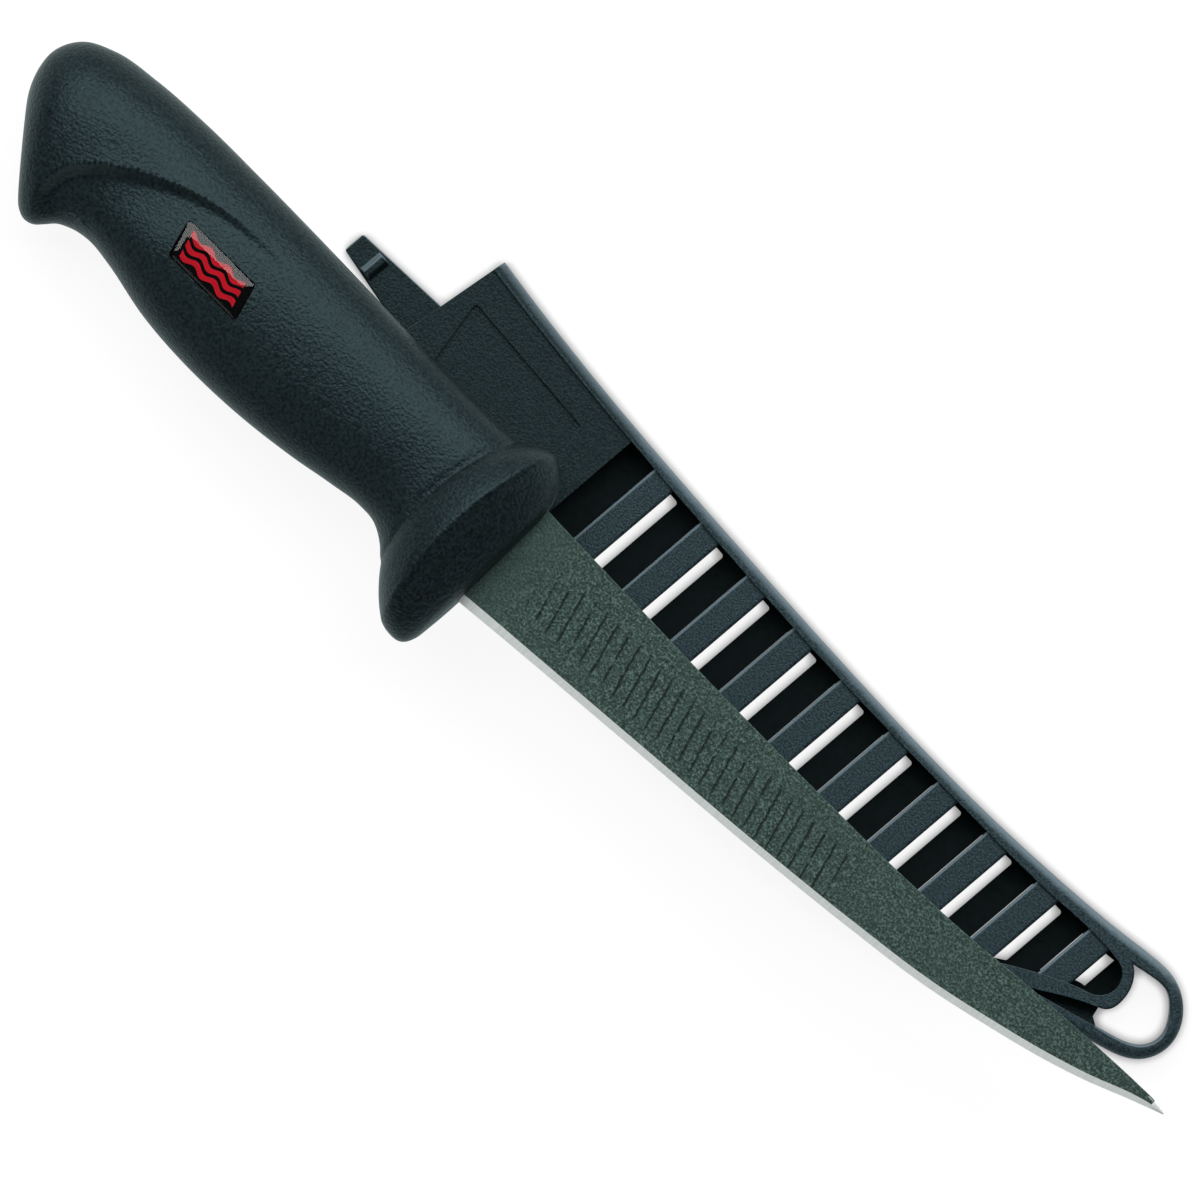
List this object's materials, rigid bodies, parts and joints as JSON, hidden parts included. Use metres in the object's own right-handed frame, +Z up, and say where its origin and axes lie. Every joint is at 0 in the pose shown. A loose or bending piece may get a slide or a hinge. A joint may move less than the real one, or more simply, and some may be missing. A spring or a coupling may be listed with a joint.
{
  "type": "fillet knife with sheath",
  "caption": "Fillet knife with a coated narrow blade and a moulded grip with guard, lying across its slatted plastic sheath with end loop and catch tongue.",
  "frame": {"origin": "centre of the footprint of knife and sheath together, on the floor they lie on", "axes": "+X along the knife from pommel to tip, +Y across the floor from the blade's edge towards its spine, +Z up"},
  "size_m": [0.3178, 0.0716, 0.0422],
  "materials": {
    "blade": "speckled grey-green non-stick coating on stainless steel, bright ground edge",
    "core": "hard moulded plastic, hidden by the grip",
    "grip": "black soft rubber with a fine even grain",
    "badge_plate": "gloss black plate with a plain red wave motif",
    "badge_dome": "clear domed resin",
    "sheath": "black moulded plastic with a coarse leather-like grain"
  },
  "bodies": {
    "sheath": {"sheath_body": "sheath"},
    "catch": {"sheath_catch": "sheath"},
    "knife": {"blade": "blade", "handle_core": "core", "soft_grip": "grip", "badge_plate": "badge_plate", "badge_dome": "badge_dome"}
  },
  "joints": [
    {"name": "knife_lift", "type": "slide", "parent": "sheath", "child": "knife", "axis": [0, 0, 1], "range_m": [0, 0.12]},
    {"name": "catch_flex", "type": "hinge", "parent": "sheath", "child": "catch", "pos_m": [-0.02543, 0.01167, 0.0008], "axis": [-0.0785, -0.9969, 0], "range_deg": [0, 14], "stiffness_Nm_per_rad": 0.25}
  ]
}
